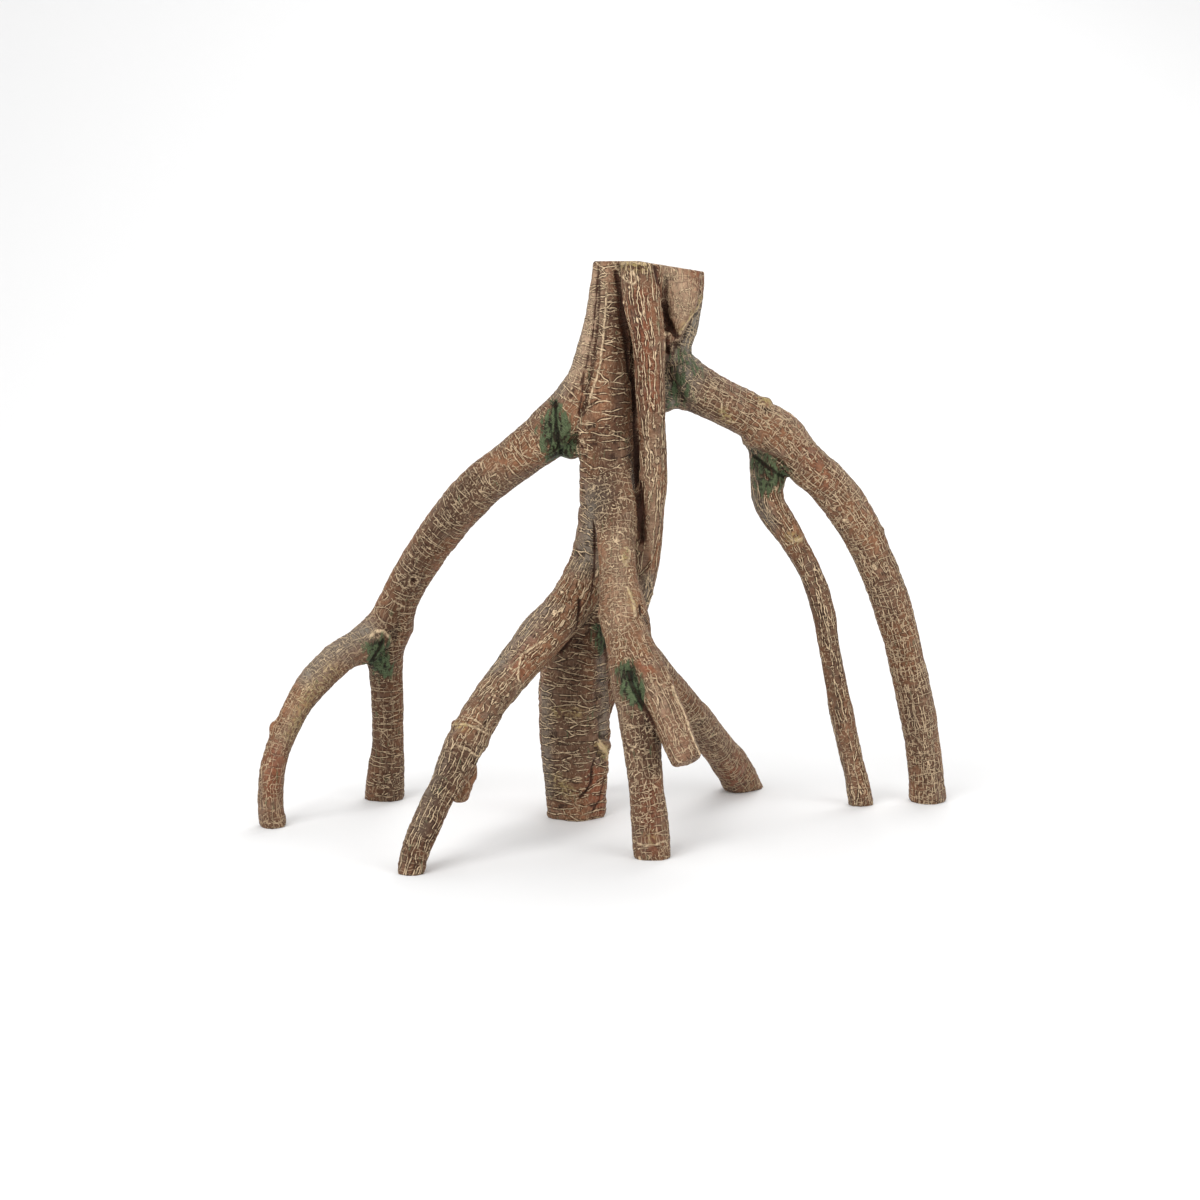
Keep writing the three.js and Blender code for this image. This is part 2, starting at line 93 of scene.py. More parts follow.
# %% Floor and backdrop in one sheet
SHEET_SIDE = 7.0
WALL_Y = 2.4
WALL_HEIGHT = 3.2
FOLD_RADIUS = 1.2
FOLD_SEGMENTS = 24
NEAR = 0.01  # how close to a line an edge still counts as lying on it


def only(thing):
    """Makes one object the only one selected, and the active one."""
    bpy.ops.object.select_all(action="DESELECT")
    thing.select_set(True)
    bpy.context.view_layer.objects.active = thing


def select_edges(thing, wanted):
    """Selects the edges whose two ends both pass a test, then enters edit mode."""
    only(thing)
    bpy.ops.object.mode_set(mode="EDIT")
    bpy.ops.mesh.select_mode(type="EDGE")
    bpy.ops.mesh.select_all(action="DESELECT")
    bpy.ops.object.mode_set(mode="OBJECT")
    for edge in thing.data.edges:
        edge.select = all(wanted(thing.data.vertices[i].co) for i in edge.vertices)
    bpy.ops.object.mode_set(mode="EDIT")


bpy.ops.mesh.primitive_plane_add(size=SHEET_SIDE, location=(0, WALL_Y - SHEET_SIDE / 2, 0))
backdrop = bpy.context.object
backdrop.name = "studio_sheet"
bpy.ops.object.transform_apply(location=True)
select_edges(backdrop, lambda co: co.y > WALL_Y - NEAR)
bpy.ops.mesh.extrude_region_move(TRANSFORM_OT_translate={"value": (0, 0, WALL_HEIGHT)})
bpy.ops.object.mode_set(mode="OBJECT")
select_edges(backdrop, lambda co: co.y > WALL_Y - NEAR and co.z < NEAR)
bpy.ops.mesh.bevel(offset=FOLD_RADIUS, segments=FOLD_SEGMENTS)
bpy.ops.object.mode_set(mode="OBJECT")
bpy.ops.object.shade_smooth()
print("backdrop faces", len(backdrop.data.polygons))

# %% [markdown]
# ## The light
# Even light from all around would hide the relief, and one small lamp would make hard
# shadows. So a large lamp on the left leads, a weaker one on the right fills the shadows, and
# one behind brightens the edges, under a pale sky.

# %% Lamps and sky
LAMPS = {  # place, size in metres, power in watts
    "key": ((-1.1, -1.5, 1.7), 1.5, 34),
    "fill": ((1.6, -1.3, 0.9), 1.6, 14),
    "back": ((0.4, 1.5, 1.8), 1.4, 22),
}
AIM = Vector((0, 0, 0.16))
SKY_STRENGTH = 0.75


def lamp(name, place, size, power):
    """A square soft lamp that points at the middle of the root."""
    bpy.ops.object.light_add(type="AREA", location=place)
    light = bpy.context.object
    light.name = name + "_lamp"
    light.data.size = size
    light.data.energy = power
    light.rotation_euler = (AIM - light.location).to_track_quat("-Z", "Y").to_euler()


for name, (place, size, power) in LAMPS.items():
    lamp(name, place, size, power)
sky = bpy.data.worlds.new("white_room")
bpy.context.scene.world = sky
sky.use_nodes = True
glow = sky.node_tree.nodes["Background"]
glow.inputs["Color"].default_value = (1, 1, 1, 1)
glow.inputs["Strength"].default_value = SKY_STRENGTH
bpy.context.scene.view_settings.view_transform = "Standard"
print("lamps", len(LAMPS))

# %% [markdown]
# ## The centre lines
# Bark grows along a root: its ribs run lengthwise and its wrinkles run round. To place
# anything with the grain, each point of the bark has to know its strand, how far along the
# strand it lies and on which side. So the centre lines of the solid are written here once
# more, in metres, each point with the strand's half width.

# %% Centre lines, from the trunk to the feet
STRANDS = {
    "leftArch": [
        (-0.004, 0.009, 0.343, 0.0052), (-0.0068, 0.008, 0.312, 0.0062),
        (-0.0102, 0.007, 0.289, 0.0075), (-0.0174, 0.008, 0.262, 0.0104),
        (-0.0324, 0.011, 0.2384, 0.0138), (-0.0516, 0.016, 0.222, 0.014),
        (-0.077, 0.024, 0.202, 0.013), (-0.1053, 0.034, 0.1693, 0.0124),
        (-0.1274, 0.045, 0.1342, 0.011), (-0.1366, 0.054, 0.104, 0.0099),
        (-0.1383, 0.062, 0.072, 0.0096), (-0.1385, 0.068, 0.039, 0.01),
        (-0.1406, 0.073, 0.012, 0.0114), (-0.1416, 0.077, -0.008, 0.0126),
    ],
    "outerLeftLeg": [
        (-0.13, 0.05, 0.12, 0.0075), (-0.145, 0.045, 0.108, 0.0096),
        (-0.163, 0.037, 0.0975, 0.0099), (-0.1814, 0.024, 0.0792, 0.0088),
        (-0.1934, 0.014, 0.0592, 0.0082), (-0.2014, 0.007, 0.038, 0.0074),
        (-0.2036, 0.002, 0.017, 0.0076), (-0.2006, -0.001, -0.008, 0.009),
    ],
    "body": [
        (0.001, 0.002, 0.343, 0.006), (0.002, 0.001, 0.313, 0.007), (0.002, 0.001, 0.29, 0.0093),
        (-0.001, 0.002, 0.255, 0.0126), (-0.002, 0.005, 0.225, 0.0152),
        (-0.0026, 0.01, 0.195, 0.0145), (-0.0074, 0.014, 0.165, 0.0141),
        (-0.0124, 0.017, 0.134, 0.0148), (-0.019, 0.021, 0.108, 0.0184),
        (-0.023, 0.023, 0.079, 0.0208), (-0.0224, 0.024, 0.047, 0.0198),
        (-0.0205, 0.026, 0.016, 0.0184), (-0.02, 0.027, -0.01, 0.016),
    ],
    "column": [
        (0.016, -0.006, 0.343, 0.0114), (0.018, -0.01, 0.313, 0.0114),
        (0.022, -0.012, 0.29, 0.0098), (0.023, -0.011, 0.266, 0.009),
        (0.0245, -0.008, 0.238, 0.0081), (0.0255, -0.004, 0.208, 0.0079),
        (0.0228, 0.001, 0.178, 0.008), (0.0205, 0.007, 0.154, 0.0078),
        (0.015, 0.016, 0.131, 0.008), (0.007, 0.032, 0.105, 0.0085),
        (-0.004, 0.052, 0.073, 0.0086), (-0.013, 0.074, 0.037, 0.0088),
        (-0.02, 0.098, -0.009, 0.0096),
    ],
    "rightRoot": [
        (0.007, -0.037, 0.138, 0.0075), (0.015, -0.026, 0.118, 0.0077),
        (0.025, -0.011, 0.099, 0.0084), (0.043, 0.02, 0.073, 0.0098),
        (0.063, 0.059, 0.041, 0.0107), (0.0795, 0.091, 0.014, 0.0115),
        (0.09, 0.11, -0.009, 0.0124),
    ],
    "frontRoot": [
        (-0.001, 0.002, 0.214, 0.0085), (0.003, -0.008, 0.194, 0.0115),
        (0.004, -0.021, 0.165, 0.0113), (0.006, -0.032, 0.141, 0.0104),
        (0.008, -0.042, 0.122, 0.011), (0.01, -0.05, 0.103, 0.0112),
        (0.014, -0.056, 0.084, 0.011), (0.017, -0.063, 0.061, 0.0109),
        (0.0204, -0.07, 0.036, 0.0104), (0.0231, -0.074, 0.012, 0.0104),
        (0.0243, -0.077, -0.009, 0.0101),
    ],
    "cutStub": [
        (0.0094, -0.041, 0.128, 0.0078), (0.022, -0.056, 0.103, 0.0103),
        (0.032, -0.066, 0.083, 0.0098), (0.0392, -0.074, 0.066, 0.009),
        (0.0432, -0.078, 0.057, 0.009),
    ],
    "frontLeftRoot": [
        (-0.0124, 0.011, 0.157, 0.0095), (-0.0254, -0.003, 0.134, 0.0126),
        (-0.0406, -0.018, 0.1158, 0.0128), (-0.0552, -0.032, 0.0998, 0.0123),
        (-0.0698, -0.048, 0.0852, 0.0109), (-0.0802, -0.064, 0.0698, 0.0099),
        (-0.0872, -0.079, 0.055, 0.0097), (-0.0947, -0.09, 0.041, 0.0084),
        (-0.1015, -0.099, 0.027, 0.0081), (-0.108, -0.107, 0.012, 0.0079),
        (-0.1127, -0.113, -0.009, 0.008),
    ],
    "legStub": [
        (-0.082, -0.07, 0.066, 0.0056), (-0.0836, -0.07, 0.05, 0.0065),
        (-0.0864, -0.0685, 0.033, 0.0055),
    ],
    "rightArch": [
        (0.0478, 0.019, 0.343, 0.0074), (0.0478, 0.02, 0.315, 0.0074),
        (0.0456, 0.02, 0.298, 0.0066), (0.04, 0.018, 0.281, 0.0074),
        (0.044, 0.018, 0.267, 0.0106), (0.057, 0.021, 0.2574, 0.0132),
        (0.087, 0.03, 0.241, 0.0129), (0.115, 0.038, 0.2163, 0.0125),
        (0.1406, 0.045, 0.191, 0.0127), (0.1578, 0.051, 0.163, 0.0121),
        (0.172, 0.056, 0.129, 0.0115), (0.182, 0.06, 0.097, 0.0114),
        (0.1906, 0.063, 0.062, 0.0111), (0.1962, 0.066, 0.03, 0.011),
        (0.1998, 0.068, -0.009, 0.0113),
    ],
    "archHeel": [
        (0.01, 0.023, 0.267, 0.0105), (0.032, 0.02, 0.262, 0.0102),
        (0.052, 0.021, 0.2576, 0.0106), (0.078, 0.027, 0.2445, 0.0103),
    ],
    "axedWedge": [
        (0.039, 0.01, 0.343, 0.0126), (0.04, 0.009, 0.32, 0.0124), (0.039, 0.008, 0.306, 0.0099),
        (0.037, 0.008, 0.29, 0.004),
    ],
    "thinRoot": [
        (0.099, 0.035, 0.236, 0.01), (0.0946, 0.038, 0.213, 0.0104),
        (0.096, 0.041, 0.192, 0.0092), (0.1074, 0.044, 0.173, 0.0083),
        (0.1192, 0.047, 0.152, 0.0072), (0.1282, 0.049, 0.13, 0.0068),
        (0.1355, 0.051, 0.098, 0.0065), (0.1418, 0.053, 0.067, 0.0069),
        (0.1482, 0.055, 0.035, 0.0071), (0.1544, 0.057, 0.009, 0.0076),
        (0.1576, 0.058, -0.009, 0.0079),
    ],
    "heart": [
        (0.022, 0.02, 0.343, 0.024), (0.022, 0.021, 0.312, 0.023), (0.019, 0.022, 0.286, 0.0196),
        (0.013, 0.023, 0.259, 0.0174), (0.008, 0.024, 0.229, 0.017), (0.006, 0.024, 0.2, 0.0164),
        (0.002, 0.024, 0.17, 0.0146), (-0.002, 0.022, 0.14, 0.013), (-0.009, 0.022, 0.11, 0.012),
        (-0.016, 0.023, 0.084, 0.008),
    ],
}
STATION_STEP = 0.0025
AT_A_TIME = 20000  # points, so that the table of distances stays small


def smooth_line(points):
    """Points on a Catmull-Rom curve through the given ones, about STATION_STEP apart."""
    points = np.array(points)
    padded = np.vstack([2 * points[0] - points[1], points, 2 * points[-1] - points[-2]])
    found = []
    for before, start, end, after in zip(padded, padded[1:], padded[2:], padded[3:]):
        count = max(2, int(np.linalg.norm((end - start)[:3]) / STATION_STEP))
        t = np.linspace(0, 1, count, endpoint=False)[:, None]
        found.append(
            start
            + t * (end - before) / 2
            + t**2 * (before - 2.5 * start + 2 * end - after / 2)
            + t**3 * (1.5 * (start - end) + (after - before) / 2)
        )
    return np.vstack(found + [points[-1:]])


class Strand:
    """A centre line with, at each station, its direction and two axes across it."""

    def __init__(self, points):
        line = smooth_line(points)
        self.middle, self.half_width = line[:, :3], line[:, 3]
        self.direction = np.gradient(self.middle, axis=0)
        steps = np.linalg.norm(np.diff(self.middle, axis=0), axis=1)
        self.along = np.concatenate([[0], np.cumsum(steps)])
        self.direction /= np.linalg.norm(self.direction, axis=1, keepdims=True)
        self.across = np.cross(self.direction, (0, 1, 0))
        self.across /= np.linalg.norm(self.across, axis=1, keepdims=True)
        self.inward = np.cross(self.across, self.direction)

    def nearest_station(self, points):
        """The number of the centre line's point that is nearest to each of the points."""
        nearest = np.empty(len(points), int)
        for first in range(0, len(points), AT_A_TIME):
            part = slice(first, first + AT_A_TIME)
            apart = (self.middle**2).sum(1) - 2 * points[part] @ self.middle.T
            nearest[part] = apart.argmin(1)
        return nearest

    def turn(self, points, arrows):
        """The arrows at some points, as they lie on the straightened strand."""
        nearest = self.nearest_station(points)
        axes = (self.across, self.inward, self.direction)
        return np.stack([(arrows * axis[nearest]).sum(1) for axis in axes], 1)

    def straighten(self, points):
        """Each point's place on the straightened strand, its gap to the bark, its direction."""
        nearest = self.nearest_station(points)
        offset = points - self.middle[nearest]
        u = (offset * self.across[nearest]).sum(1)
        v = (offset * self.inward[nearest]).sum(1)
        ahead = (offset * self.direction[nearest]).sum(1)
        past = np.where(nearest == 0, -ahead, np.where(nearest == len(self.along) - 1, ahead, 0))
        gap = np.hypot(u, v) - self.half_width[nearest]
        gap = np.where(past > 0, np.maximum(gap, 0) + past, gap)
        return np.stack([u, v, self.along[nearest] + ahead], 1), gap, self.direction[nearest]


strands = {name: Strand(points) for name, points in STRANDS.items()}
for name, strand in strands.items():
    print(name, "is", round(float(strand.along[-1]), 3), "m long")

# %% [markdown]
# ## A finer skin
# The solid is drawn with about twelve thousand flat faces. Its copy gets an even skin: the
# loose triangles are merged, a voxel remesh covers them with small squares of one size, and
# a smoothing that gives back what it takes away rounds the facets without thinning the roots.
# The solid itself is left as it is.

# %% Copy, merge and remesh
VOXEL = 0.00125
MOST_TRIANGLES = 192000  # of the finished piece
WELD = 1e-6


def use(thing, kind, **settings):
    """Adds a modifier with its settings and applies it."""
    only(thing)
    modifier = thing.modifiers.new(kind.lower(), kind)
    for name, value in settings.items():
        setattr(modifier, name, value)
    bpy.ops.object.modifier_apply(modifier=modifier.name)


def points_of(thing):
    co = np.empty(len(thing.data.vertices) * 3)
    thing.data.vertices.foreach_get("co", co)
    return co.reshape(-1, 3)


def place_points(thing, points):
    thing.data.vertices.foreach_set("co", points.ravel())
    thing.data.update()


def normals_of(thing):
    out = np.empty(len(thing.data.vertices) * 3)
    thing.data.vertices.foreach_get("normal", out)
    return out.reshape(-1, 3)


root = bpy.data.objects.new("mangrove_bark", solid.data.copy())
bpy.context.collection.objects.link(root)
only(root)
bpy.ops.object.mode_set(mode="EDIT")
bpy.ops.mesh.select_all(action="SELECT")
bpy.ops.mesh.remove_doubles(threshold=WELD)
bpy.ops.object.mode_set(mode="OBJECT")
print("merged", len(root.data.vertices), "points")
use(root, "REMESH", mode="VOXEL", voxel_size=VOXEL, use_smooth_shade=True)
print("remeshed", len(root.data.polygons), "faces")

# %% Round the facets
ROUNDING_TURNS = 14
GIVE, TAKE = 0.5, -0.52


def neighbour_mean(thing):
    """A function that gives each point's mean neighbour."""
    ends = np.empty(len(thing.data.edges) * 2, int)
    thing.data.edges.foreach_get("vertices", ends)
    a, b = ends.reshape(-1, 2).T
    count = np.bincount(ends, minlength=len(thing.data.vertices)).clip(1)

    def mean(values):
        total = np.zeros_like(values)
        for column in range(values.shape[1]):
            sums = np.bincount(a, values[b, column], len(values))
            total[:, column] = sums + np.bincount(b, values[a, column], len(values))
        return total / count[:, None]

    return mean


mean = neighbour_mean(root)
skin = points_of(root)
for _ in range(ROUNDING_TURNS):
    for pull in (GIVE, TAKE):
        skin += pull * (mean(skin) - skin)
place_points(root, skin)
print("rounded", len(skin), "points")

# %% [markdown]
# ## Noise that both the shape and the masks can use
# Wrinkles, ribs and lumps all come from one seeded noise: random slopes on a grid, blended
# smoothly between the grid's points. Read at one scale it makes lumps, squeezed along the
# grain it makes ribs, and squeezed round the root it makes wrinkles.

# %% Seeded noise
RANDOM = np.random.default_rng(11)
SHUFFLE = RANDOM.permutation(256)
SLOPES = RANDOM.normal(size=(256, 3))
SLOPES /= np.linalg.norm(SLOPES, axis=1, keepdims=True)
NOISE_GAIN = 1.7  # brings most values between -1 and 1


def noise(places, seed=0):
    """Smooth noise with one grid step for each unit of the places."""
    cell = np.floor(places).astype(int)
    part = places - cell
    fade = part**3 * (part * (part * 6 - 15) + 10)
    total = np.zeros(len(places))
    for corner in itertools.product((0, 1), repeat=3):
        x, y, z = (cell + corner + (0, 0, seed)).T
        slope = SLOPES[SHUFFLE[(x + SHUFFLE[(y + SHUFFLE[z & 255]) & 255]) & 255]]
        weight = np.where(corner, fade, 1 - fade).prod(1)
        total += weight * ((part - corner) * slope).sum(1)
    return total * NOISE_GAIN


def ridge(places, seed=0):
    """Noise folded at zero: 1 on thin winding crests, 0 in the wide valleys."""
    return 1 - np.abs(noise(places, seed)).clip(0, 1)


print("noise spread", round(float(noise(skin / 0.01).std()), 3))

# %% [markdown]
# ## Where each point of bark belongs
# Every point is measured against all strands. The strand with the smallest gap owns it, and
# the difference to the runner-up says how near it lies to a crease. Points that lie between
# two strands take their relief from both, so no step shows where one strand ends.

# %% Measure the bark against the strands
CREASE = 0.0013  # half width of a crease between two strands
START_ZONE = 0.012  # no crease this near to the start of a strand
BLEND = 0.005  # over this much, two strands share their relief
PARALLEL, PARALLEL_FADE = 0.93, 0.05  # cosines, for two strands that run side by side


class Grain:
    """The places of points on their strands."""

    def __init__(self, points):
        found = [strand.straighten(points) for strand in strands.values()]
        places, line_shadows, directions = zip(*found)
        self.beside = np.stack(places, 1)
        line_shadows = np.stack(line_shadows, 1)
        directions = np.stack(directions, 1)
        order = line_shadows.argsort(1)
        rows = self.rows = np.arange(len(points))
        self.owner, self.second = order[:, 0], order[:, 1]
        self.margin = line_shadows[rows, self.second] - line_shadows[rows, self.owner]
        turned = (directions[rows, self.owner] * directions[rows, self.second]).sum(1)
        self.side_by_side = ((np.abs(turned) - PARALLEL) / PARALLEL_FADE).clip(0, 1)

    def place(self, owner):
        """The place of each point on a strand of its own."""
        return self.beside[self.rows, owner]

    def is_inside_ends(self, owner):
        """0 near the start of a strand, where it grows out of another, and 1 further on."""
        return ((self.place(owner)[:, 2] - START_ZONE) / START_ZONE).clip(0, 1)


grain = Grain(skin)
for number, name in enumerate(strands):
    print(name, int((grain.owner == number).sum()), "points")

# %% [markdown]
# ## Relief of the bark
# Three kinds of relief cover the real root. Long ribs run down the strands, strongest on the
# column. Wrinkles run round the thick middle root and, weaker, round every arch. Lumps of
# about a centimetre make the outline uneven. How much of each a strand has was read off
# the photo.

# %% Ribs, wrinkles and lumps
RELIEF = {  # heights in metres: long ribs, wrinkles round the strand, lumps
    "leftArch": (0.00035, 0.00030, 0.0005),
    "outerLeftLeg": (0.0003, 0.0003, 0.0005),
    "body": (0.0002, 0.0006, 0.0005),
    "column": (0.0006, 0.0001, 0.0003),
    "rightRoot": (0.0003, 0.0003, 0.0005),
    "frontRoot": (0.0003, 0.0003, 0.0005),
    "cutStub": (0.0003, 0.0003, 0.0004),
    "frontLeftRoot": (0.0004, 0.0003, 0.0006),
    "legStub": (0.0003, 0.0002, 0.0004),
    "rightArch": (0.0003, 0.00035, 0.0005),
    "archHeel": (0.0002, 0.0003, 0.0005),
    "axedWedge": (0.0002, 0.0002, 0.0003),
    "thinRoot": (0.0004, 0.0002, 0.0005),
    "heart": (0.0004, 0.0003, 0.0006),
}
RIB_GRID = np.array([0.0035, 0.0035, 0.028])
WRINKLE_GRID = np.array([0.014, 0.014, 0.0034])
LUMP_GRID = np.array([0.009, 0.009, 0.014])
OFFSETS = RANDOM.uniform(0, 1, (len(STRANDS), 3))  # metres, so that no two strands match
HEIGHTS = np.array([RELIEF[name] for name in STRANDS])
CREST_GAIN, CREST_SHIFT = 2, 1.3  # bring the folded noise to both sides of the skin


def relief_on(place, owner):
    """Height of the bark at places on given strands."""
    shifted = place + OFFSETS[owner]
    ribs, wrinkles, lumps = HEIGHTS[owner].T
    height = ribs * (ridge(shifted / RIB_GRID, 1) * CREST_GAIN - CREST_SHIFT)
    height += wrinkles * (ridge(shifted / WRINKLE_GRID, 2) * CREST_GAIN - CREST_SHIFT)
    return height + lumps * noise(shifted / LUMP_GRID, 3)


own_part = 0.5 + 0.5 * (grain.margin / BLEND).clip(0, 1)
relief = own_part * relief_on(grain.place(grain.owner), grain.owner)
relief += (1 - own_part) * relief_on(grain.place(grain.second), grain.second)
print("relief from", round(relief.min() * 1000, 2), "to", round(relief.max() * 1000, 2), "mm")

# %% [markdown]
# ## Marks of its life
# A few marks stand out on the real root: cracks in the crotches, rings where the roots once
# swelled, round scars of lost rootlets, a small pit, and the flap of bark on the sawn top.
# Each is given by pixels of the photo, and a line of sight from the camera finds the spot
# on the bark, so that the mark sits on the wood from every side.

# %% Find spots on the bark
bpy.context.view_layer.update()
FORWARD = camera.matrix_world.to_quaternion() @ Vector((0, 0, -1))
RIGHT = camera.matrix_world.to_quaternion() @ Vector((1, 0, 0))
UP = camera.matrix_world.to_quaternion() @ Vector((0, 1, 0))


def spot(pixel):
    """The point of the bark that the camera sees at a pixel, or None."""
    x, y = pixel
    away = FORWARD + RIGHT * (x - PHOTO_SIDE / 2) / FOCAL_PIXELS
    away = away - UP * (y - PHOTO_SIDE / 2) / FOCAL_PIXELS
    hit, place, _, _ = root.ray_cast(EYE, away.normalized())
    return np.array(place) if hit else None


def path_on_bark(pixels, step=2):
    """Spots along a line of pixels."""
    found = []
    for (x0, y0), (x1, y1) in zip(pixels, pixels[1:]):
        count = max(1, int(np.hypot(x1 - x0, y1 - y0) / step))
        for t in np.linspace(0, 1, count, endpoint=False):
            found.append(spot((x0 + t * (x1 - x0), y0 + t * (y1 - y0))))
    found.append(spot(pixels[-1]))
    return np.array([place for place in found if place is not None])


def nearness(points, spots, reach):
    """1 at the spots, falling smoothly to 0 at the reach."""
    nearest = np.full(len(points), np.inf)
    for place in spots:
        nearest = np.minimum(nearest, ((points - place) ** 2).sum(1))
    return np.clip(1 - nearest / reach**2, 0, 1) ** 2


print("the camera looks along", [round(v, 3) for v in FORWARD])

# %% Cracks, clefts and raised lines, by pixels of the photo
CLEFTS = {  # points, reach in metres, depth in metres
    "top of the column's cleft": ([(616, 272), (618, 285), (620, 300)], 0.0024, 0.0012),
    "left of the column": (
        [
            (621, 304), (624, 325), (628, 350), (631, 380), (634, 415), (637, 455), (640, 500),
            (642, 540),
        ],
        0.0042, 0.0016,
    ),
    "beside the left strand": (
        [(598, 266), (596, 300), (593, 330), (587, 362), (580, 385)], 0.0010, 0.0008,
    ),
    "left strand fold": ([(584, 372), (582, 395), (579, 412)], 0.0012, 0.0006),
    "right of the column": ([(656, 268), (660, 290), (664, 312), (669, 329)], 0.0036, 0.0016),
    "wedge foot": ([(670, 322), (674, 333), (677, 337)], 0.0026, 0.0014),
    "under the wedge": ([(665, 342), (668, 352)], 0.0024, 0.0010),
    "left arch": ([(555, 402), (556, 425), (558, 440), (561, 453)], 0.0016, 0.0016),
    "left arch strokes": ([(551, 424), (552, 440), (553, 452)], 0.0010, 0.0006),
    "front left fork": (
        [(580, 600), (579, 615), (576, 630), (568, 643), (560, 652)], 0.0020, 0.0016,
    ),
    "above the fork": ([(594, 520), (595, 545), (594, 575), (590, 600)], 0.0012, 0.0008),
    "left fork": ([(383, 640), (379, 650), (372, 660), (368, 667)], 0.0018, 0.0014),
    "thin root fork": ([(752, 455), (766, 466), (780, 475), (789, 479)], 0.0018, 0.0014),
    "stub fork": ([(628, 672), (632, 686), (639, 699), (648, 714), (655, 728)], 0.0022, 0.0014),
    "broken foot": ([(594, 760), (592, 772), (592, 781), (586, 792), (580, 797)], 0.0018, 0.0013),
    "broken foot edge": ([(605, 776), (601, 790), (599, 801), (593, 810)], 0.0014, 0.0010),
    "body wrinkle": ([(600, 432), (608, 425), (617, 418)], 0.0010, 0.0007),
    "pit": ([(413, 580), (414, 581)], 0.0022, 0.0018),
    "flap hole": ([(639, 266), (640, 268)], 0.0016, 0.0010),
    "column base": ([(640, 606), (641, 614)], 0.0018, 0.0012),
    "circle scar": ([(582, 446), (583, 447)], 0.0014, 0.0006),
}
CRESTS = {
    "rim of the left strand": (
        [(607, 293), (606, 313), (603, 340), (601, 364), (597, 380), (592, 393), (589, 404)], 0.0011, 0.0007,
    ),
    "axed edge": ([(704, 296), (697, 307), (688, 320), (679, 333)], 0.0012, 0.0009),
    "top flap": (
        [(614, 262), (619, 274), (627, 281), (634, 285), (637, 279), (632, 270)], 0.0011, 0.0009,
    ),
    "top flap rim": ([(622, 264), (634, 262), (645, 265)], 0.0013, 0.0009),
    "circle scar": (
        [
            (577, 447), (579, 442), (584, 441), (588, 445), (588, 450), (584, 453), (579, 452),
            (577, 447),
        ],
        0.0009, 0.0006,
    ),
    "pit": (
        [(409, 582), (411, 577), (416, 577), (418, 581), (415, 586), (410, 585)], 0.0010, 0.0007,
    ),
    "arch wrinkles": ([(395, 601), (402, 606), (411, 607)], 0.0009, 0.0006),
    "left fork lip": (
        [(371, 636), (376, 631), (383, 631), (389, 637), (392, 645)], 0.0016, 0.0010,
    ),
    "leg seam": (
        [(542, 641), (533, 647), (521, 655), (519, 667), (518, 678), (520, 686), (516, 693)], 0.0010, 0.0008,
    ),
    "leg seam branch": ([(519, 668), (513, 671), (507, 664)], 0.0009, 0.0006),
    "leg ring": ([(458, 716), (473, 719), (487, 729)], 0.0010, 0.0008),
    "lower leg ring": ([(453, 725), (467, 725), (477, 729), (489, 735)], 0.0012, 0.0010),
    "last leg ring": ([(455, 744), (466, 749), (477, 756)], 0.0009, 0.0006),
    "thin root knot": ([(789, 536), (794, 541), (801, 539), (804, 533)], 0.0014, 0.0010),
    "arch scar": ([(722, 404), (721, 413), (726, 420), (734, 422)], 0.0010, 0.0008),
    "arch beads": ([(844, 520), (847, 521)], 0.0018, 0.0010),
    "arch bead": ([(874, 565), (875, 568)], 0.0018, 0.0010),
    "hole bead": ([(664, 334), (668, 333)], 0.0020, 0.0010),
    "broken rim": ([(598, 742), (604, 750), (607, 758)], 0.0024, 0.0012),
    "upper flake": ([(624, 548), (630, 551), (629, 559), (624, 566), (622, 557)], 0.0010, 0.0008),
    "lower flake": ([(627, 588), (631, 597), (634, 605), (635, 616)], 0.0013, 0.0010),
    "column base": ([(644, 574), (651, 582), (652, 594), (646, 606)], 0.0011, 0.0008),
    "stub edge": ([(672, 686), (677, 699), (684, 713), (689, 731), (699, 754)], 0.0011, 0.0008),
    "right root band": ([(688, 723), (697, 718), (707, 718)], 0.0010, 0.0007),
    "right root ring": ([(708, 737), (718, 733), (727, 732)], 0.0010, 0.0007),
    "front cap": ([(634, 841), (644, 846), (655, 845), (667, 840)], 0.0010, 0.0007),
}
CREST_SPREAD = 1.3  # makes raised lines as wide as the mesh can hold
COUNTED = 0.2  # from here on a point counts as marked in the printed numbers
skin = points_of(root)
cleft = np.zeros(len(skin))
crest = np.zeros(len(skin))
for pixels, reach, depth in CLEFTS.values():
    hold = nearness(skin, path_on_bark(pixels), reach)
    cleft = np.maximum(cleft, hold)
    relief -= depth * hold
for pixels, reach, height in CRESTS.values():
    hold = nearness(skin, path_on_bark(pixels), reach * CREST_SPREAD)
    crest = np.maximum(crest, hold)
    relief += height * hold
print("cracked", int((cleft > COUNTED).sum()), "raised", int((crest > COUNTED).sum()), "points")

# %% [markdown]
# ## Creases, saw cuts and the move itself
# Where two strands run side by side, a crease parts them. It is left out near the start of a
# strand, where one grows smoothly out of the other. The sawn top and the soles stay almost
# flat, as a saw leaves them. Then every point moves along its normal, and none leaves the
# box of the solid.

# %% Creases between strands, cut faces, and the move itself
CREASE_DEPTH = 0.0007
CREASE_SHADE = 0.5
FLOOR_ZONE = 0.0016
TOP_FROM, FACES_UP = 0.325, 0.9  # the sawn top lies above this height and faces up
SAWN_SHARE = 0.2  # of the relief, on sawn faces
EVENING = 0.4  # how far each height goes towards its neighbours' mean

